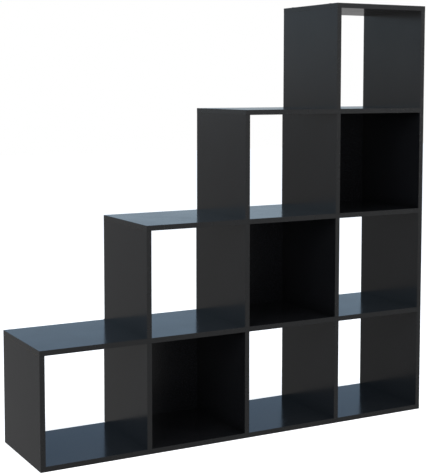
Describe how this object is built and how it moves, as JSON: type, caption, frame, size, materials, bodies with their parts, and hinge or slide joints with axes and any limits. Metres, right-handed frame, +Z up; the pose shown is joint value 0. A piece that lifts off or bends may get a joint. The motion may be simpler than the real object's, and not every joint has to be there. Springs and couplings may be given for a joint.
{
  "type": "stepped cube bookcase",
  "caption": "Free-standing black bookcase of square open cells whose columns rise like a stair from left to right, with back panels on the inner diagonal.",
  "frame": {"origin": "middle of the footprint on the floor", "axes": "+X to the right as seen from the front, towards the tall side; +Y to the rear, towards the wall; +Z up; the open front faces -Y"},
  "size_m": [1.3852, 0.33, 1.3882],
  "materials": {
    "black_board": "semi-gloss black melamine on particle board",
    "black_edging": "satin black edging strip",
    "back_board": "satin black painted fibreboard",
    "beech_dowel": "plain turned beech",
    "zinc_cam": "cast zinc, dull",
    "bright_bolt": "bright zinc-plated steel",
    "black_screw": "black-plated steel",
    "black_cap": "satin black moulded cap",
    "bracket_steel": "zinc-plated sheet"
  },
  "bodies": {
    "root": {"back_panel_1": "back_board", "back_panel_1_screws": "black_screw", "back_panel_2": "back_board", "back_panel_2_screws": "black_screw", "back_panel_3": "back_board", "back_panel_3_screws": "black_screw", "base_screws": "black_screw", "board_rear_edging": "black_edging", "bottom_board": "black_board", "bottom_board_edging": "black_edging", "bracket_screws": "black_screw", "cam_locks": "zinc_cam", "divider_1_row_1": "black_board", "divider_1_row_1_edging": "black_edging", "divider_1_row_2": "black_board", "divider_1_row_2_edging": "black_edging", "divider_2_row_1": "black_board", "divider_2_row_1_edging": "black_edging", "divider_2_row_2": "black_board", "divider_2_row_2_edging": "black_edging", "divider_2_row_3": "black_board", "divider_2_row_3_edging": "black_edging", "divider_3_row_1": "black_board", "divider_3_row_1_edging": "black_edging", "divider_3_row_2": "black_board", "divider_3_row_2_edging": "black_edging", "divider_3_row_3": "black_board", "divider_3_row_3_edging": "black_edging", "divider_3_row_4": "black_board", "divider_3_row_4_edging": "black_edging", "end_edging": "black_edging", "left_side": "black_board", "left_side_edging": "black_edging", "long_dowels": "beech_dowel", "right_side": "black_board", "right_side_edging": "black_edging", "screw_caps": "black_cap", "shelf_1": "black_board", "shelf_1_edging": "black_edging", "shelf_2": "black_board", "shelf_2_edging": "black_edging", "shelf_3": "black_board", "shelf_3_edging": "black_edging", "short_dowels": "beech_dowel", "side_screws": "black_screw", "step_bolts": "bright_bolt", "through_bolts": "bright_bolt", "top_board": "black_board", "top_board_edging": "black_edging", "top_screws": "black_screw", "upright_rear_edging": "black_edging", "wall_bracket_left": "bracket_steel", "wall_bracket_right": "bracket_steel"}
  },
  "joints": []
}
